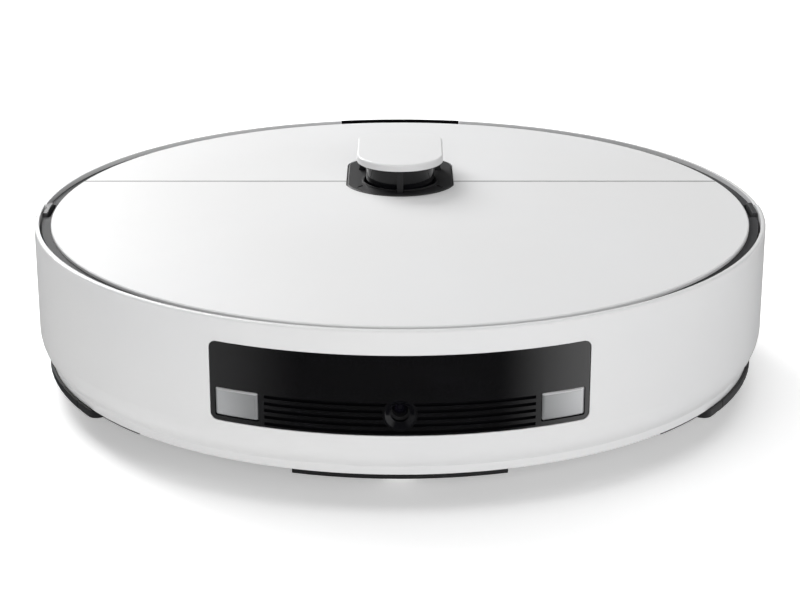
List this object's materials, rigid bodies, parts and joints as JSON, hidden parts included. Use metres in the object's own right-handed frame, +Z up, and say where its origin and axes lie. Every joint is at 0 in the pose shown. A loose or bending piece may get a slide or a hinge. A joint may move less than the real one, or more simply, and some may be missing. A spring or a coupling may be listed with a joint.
{
  "type": "robot vacuum cleaner",
  "caption": "Low round robot vacuum with a sprung front bumper, gloss sensor window, lift-off cover, capped laser turret, drive wheels and brushes.",
  "frame": {"origin": "on the floor under the centre of the round body", "axes": "+Z up; -Y is the front, where the bumper and its window are; +X is the cleaner's left"},
  "size_m": [0.35, 0.35, 0.097],
  "materials": {
    "base_black": "black moulding, fine grain",
    "battery_wrap": "shrink wrap",
    "belt_rubber": "square belt",
    "bin_smoke": "smoke tint",
    "black_window": "gloss black, dark tint",
    "board_green": "solder mask",
    "bristle_black": "nylon bristles",
    "brush_core_grey": "dark moulding",
    "caster_white": "nylon wheel",
    "contact_metal": "plated strip",
    "deck_grey": "dark grey moulding",
    "filter_paper": "pleated paper",
    "fin_rubber": "soft rubber fins",
    "gear_plastic": "natural acetal",
    "hub_grey": "grey moulding",
    "key_grey": "light grey key",
    "lamp_silver": "silver-grey diffuser",
    "lens_glass": "coated glass",
    "motor_can": "plated can",
    "plinth_black": "black moulding",
    "sensor_dark": "infrared window",
    "steel": "bright steel",
    "turret_black": "gloss black, infrared window",
    "tyre_rubber": "moulded rubber",
    "white_cover": "satin white moulding",
    "white_shell": "satin white moulding"
  },
  "bodies": {
    "base": {"chassis_base": "base_black", "top_deck": "deck_grey", "rear_shell": "white_shell", "rear_cover": "white_cover", "rear_window": "black_window", "charging_contacts": "contact_metal", "battery_pack": "battery_wrap", "battery_door": "base_black", "door_screws": "steel", "main_board": "board_green", "brush_chamber": "base_black", "brush_drive": "deck_grey", "side_brush_drive": "deck_grey", "fan_housing": "deck_grey", "camera_module": "plinth_black", "camera_lens": "lens_glass", "line_lasers": "plinth_black", "bump_switches": "deck_grey", "bumper_springs": "steel", "lds_base": "plinth_black", "lds_belt": "belt_rubber", "lds_plinth": "plinth_black", "cliff_sensors": "sensor_dark", "pivot_pins": "steel"},
    "bumper": {"bumper_shell": "white_shell", "sensor_window": "black_window", "headlamps": "lamp_silver"},
    "cover": {"front_cover": "white_cover", "cover_magnets": "steel"},
    "dustbin": {"dustbin_body": "bin_smoke", "dustbin_lid": "deck_grey", "dust_filter": "filter_paper"},
    "bin_handle": {"dustbin_handle": "key_grey"},
    "power_key": {"power_button": "key_grey"},
    "home_key": {"home_button": "key_grey"},
    "turret": {"lds_turret": "turret_black", "lds_lenses": "lens_glass"},
    "turret_pulley": {"lds_motor_pulley": "gear_plastic"},
    "turret_cap": {"lds_cap": "white_cover", "lds_cap_frame": "plinth_black"},
    "impeller": {"fan_impeller": "hub_grey"},
    "main_brush": {"brush_core": "brush_core_grey", "brush_fins": "fin_rubber"},
    "brush_frame": {"brush_guard": "base_black"},
    "side_brush": {"side_brush_hub": "hub_grey", "side_brush_bristles": "bristle_black"},
    "caster": {"caster_fork": "hub_grey"},
    "caster_roller": {"caster_wheel": "caster_white"},
    "right_arm": {"right_wheel_arm": "deck_grey", "right_wheel_motor": "motor_can"},
    "right_pinion": {"right_motor_pinion": "steel"},
    "right_wheel": {"right_wheel_gear": "gear_plastic", "right_wheel_hub": "hub_grey", "right_tyre": "tyre_rubber"},
    "left_arm": {"left_wheel_arm": "deck_grey", "left_wheel_motor": "motor_can"},
    "left_pinion": {"left_motor_pinion": "steel"},
    "left_wheel": {"left_wheel_gear": "gear_plastic", "left_wheel_hub": "hub_grey", "left_tyre": "tyre_rubber"}
  },
  "joints": [
    {"name": "bumper_slide", "type": "slide", "parent": "base", "child": "bumper", "axis": [0, 1, 0], "range_m": [0, 0.003], "stiffness_N_per_m": 600, "springref_m": -0.004, "deforming": ["bumper_springs"]},
    {"name": "cover_lift", "type": "slide", "parent": "base", "child": "cover", "axis": [0, 0, 1], "range_m": [0, 0.16]},
    {"name": "dustbin_lift", "type": "slide", "parent": "base", "child": "dustbin", "axis": [0, 0, 1], "range_m": [0, 0.08]},
    {"name": "bin_handle_turn", "type": "hinge", "parent": "dustbin", "child": "bin_handle", "pos_m": [0, -0.047, 0.0781], "axis": [-1, 0, 0], "range_deg": [0, 92]},
    {"name": "power_press", "type": "slide", "parent": "base", "child": "power_key", "axis": [0, 0, -1], "range_m": [0, 0.001], "stiffness_N_per_m": 600, "springref_m": -0.002},
    {"name": "home_press", "type": "slide", "parent": "base", "child": "home_key", "axis": [0, 0, -1], "range_m": [0, 0.001], "stiffness_N_per_m": 600, "springref_m": -0.002},
    {"name": "turret_spin", "type": "hinge", "parent": "base", "child": "turret", "pos_m": [0, 0.0485, 0.075], "axis": [0, 0, 1], "continuous": true},
    {"name": "turret_pulley_spin", "type": "hinge", "parent": "base", "child": "turret_pulley", "pos_m": [0, 0.084, 0.066], "axis": [0, 0, 1], "continuous": true},
    {"name": "turret_cap_press", "type": "slide", "parent": "base", "child": "turret_cap", "axis": [0, 0, -1], "range_m": [0, 0.001], "stiffness_N_per_m": 1500, "springref_m": -0.002},
    {"name": "impeller_spin", "type": "hinge", "parent": "base", "child": "impeller", "pos_m": [0.08, -0.087, 0.048], "axis": [1, 0, 0], "continuous": true},
    {"name": "main_brush_spin", "type": "hinge", "parent": "base", "child": "main_brush", "pos_m": [0, -0.03, 0.024], "axis": [1, 0, 0], "continuous": true},
    {"name": "brush_frame_drop", "type": "slide", "parent": "base", "child": "brush_frame", "axis": [0, 0, -1], "range_m": [0, 0.03]},
    {"name": "side_brush_spin", "type": "hinge", "parent": "base", "child": "side_brush", "pos_m": [-0.08, -0.097, 0.009], "axis": [0, 0, 1], "continuous": true},
    {"name": "caster_swivel", "type": "hinge", "parent": "base", "child": "caster", "pos_m": [0, -0.138, 0.02], "axis": [0, 0, 1], "continuous": true},
    {"name": "caster_roll", "type": "hinge", "parent": "caster", "child": "caster_roller", "pos_m": [0, -0.133, 0.009], "axis": [1, 0, 0], "continuous": true},
    {"name": "right_arm_drop", "type": "hinge", "parent": "base", "child": "right_arm", "pos_m": [-0.105, 0.054, 0.042], "axis": [1, 0, 0], "range_deg": [0, 28], "stiffness_Nm_per_rad": 0.3, "springref_deg": 51.57},
    {"name": "right_wheel_spin", "type": "hinge", "parent": "right_arm", "child": "right_wheel", "pos_m": [-0.128, 0.006, 0.035], "axis": [1, 0, 0], "continuous": true},
    {"name": "right_pinion_spin", "type": "hinge", "parent": "right_arm", "child": "right_pinion", "pos_m": [-0.104, 0.02566, 0.04877], "axis": [1, 0, 0], "continuous": true},
    {"name": "left_arm_drop", "type": "hinge", "parent": "base", "child": "left_arm", "pos_m": [0.105, 0.054, 0.042], "axis": [1, 0, 0], "range_deg": [0, 28], "stiffness_Nm_per_rad": 0.3, "springref_deg": 51.57},
    {"name": "left_wheel_spin", "type": "hinge", "parent": "left_arm", "child": "left_wheel", "pos_m": [0.128, 0.006, 0.035], "axis": [1, 0, 0], "continuous": true},
    {"name": "left_pinion_spin", "type": "hinge", "parent": "left_arm", "child": "left_pinion", "pos_m": [0.104, 0.02566, 0.04877], "axis": [1, 0, 0], "continuous": true}
  ],
  "couplings": [
    {"joint": "dustbin_lift", "follows": "cover_lift", "ratio": 0.5},
    {"joint": "bin_handle_turn", "follows": "cover_lift", "rad_per_m": 9.8},
    {"joint": "turret_pulley_spin", "follows": "turret_spin", "ratio": 4.125},
    {"joint": "right_pinion_spin", "follows": "right_wheel_spin", "ratio": -3},
    {"joint": "left_pinion_spin", "follows": "left_wheel_spin", "ratio": -3}
  ]
}
